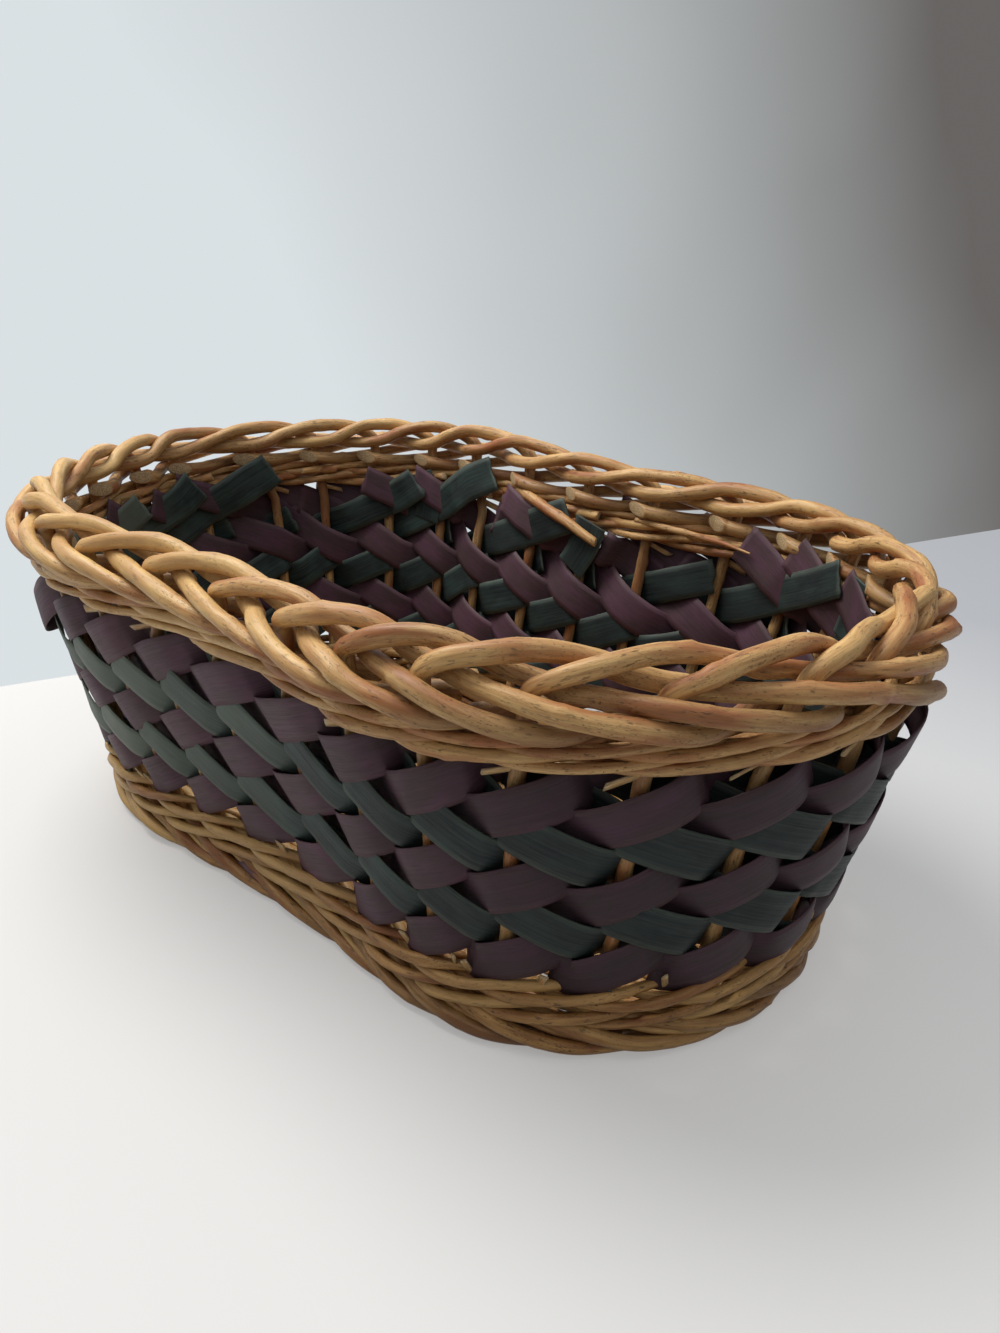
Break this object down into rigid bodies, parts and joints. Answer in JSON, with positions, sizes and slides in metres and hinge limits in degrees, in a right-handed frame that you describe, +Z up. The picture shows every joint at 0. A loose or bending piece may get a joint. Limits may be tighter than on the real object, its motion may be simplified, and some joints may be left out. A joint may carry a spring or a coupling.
{
  "type": "woven basket",
  "caption": "Low elongated open basket with a slight waist, willow stakes, a braided border and foot, and walls of dyed purple and green chip strips in a chevron weave.",
  "frame": {"origin": "middle of the box round the basket, on the floor that its foot ring stands on", "axes": "+X along the basket's length, +Y across it, +Z up"},
  "size_m": [0.3952, 0.2528, 0.1455],
  "materials": {
    "willow_light": "satin, bare willow rod",
    "willow_brown": "satin, darker bare willow rod",
    "strip_purple": "dyed wood chip, dull",
    "strip_green": "dyed wood chip, dull"
  },
  "bodies": {
    "root": {"stake_01": "willow_light", "stake_02": "willow_light", "stake_03": "willow_light", "stake_04": "willow_light", "stake_05": "willow_light", "stake_06": "willow_light", "stake_07": "willow_light", "stake_08": "willow_light", "stake_09": "willow_light", "stake_10": "willow_light", "stake_11": "willow_light", "stake_12": "willow_light", "stake_13": "willow_light", "stake_14": "willow_light", "stake_15": "willow_light", "stake_16": "willow_light", "stake_17": "willow_light", "stake_18": "willow_light", "stake_19": "willow_light", "stake_20": "willow_light", "stake_21": "willow_light", "stake_22": "willow_light", "stake_23": "willow_light", "stake_24": "willow_light", "stake_25": "willow_light", "stake_26": "willow_light", "stake_27": "willow_light", "stake_28": "willow_light", "stake_29": "willow_light", "stake_30": "willow_light", "upper_wale_row1_rod1": "willow_light", "upper_wale_row1_rod2": "willow_light", "upper_wale_row1_rod3": "willow_light", "upper_wale_row2_rod1": "willow_light", "upper_wale_row2_rod2": "willow_light", "upper_wale_row2_rod3": "willow_light", "lower_wale_row1_rod1": "willow_brown", "lower_wale_row1_rod2": "willow_brown", "lower_wale_row1_rod3": "willow_brown", "lower_wale_row2_rod1": "willow_brown", "lower_wale_row2_rod2": "willow_brown", "lower_wale_row2_rod3": "willow_brown", "foot_ring": "willow_brown", "base_cross_stick_1": "willow_brown", "base_cross_stick_2": "willow_brown", "base_cross_stick_3": "willow_brown", "base_cross_stick_4": "willow_brown", "base_cross_stick_5": "willow_brown", "base_cross_stick_6": "willow_brown", "base_cross_stick_7": "willow_brown", "base_long_stick_1": "willow_brown", "base_long_stick_2": "willow_brown", "base_long_stick_3": "willow_brown", "base_mat": "willow_light", "purple_strips": "strip_purple", "green_strips": "strip_green"}
  },
  "joints": []
}
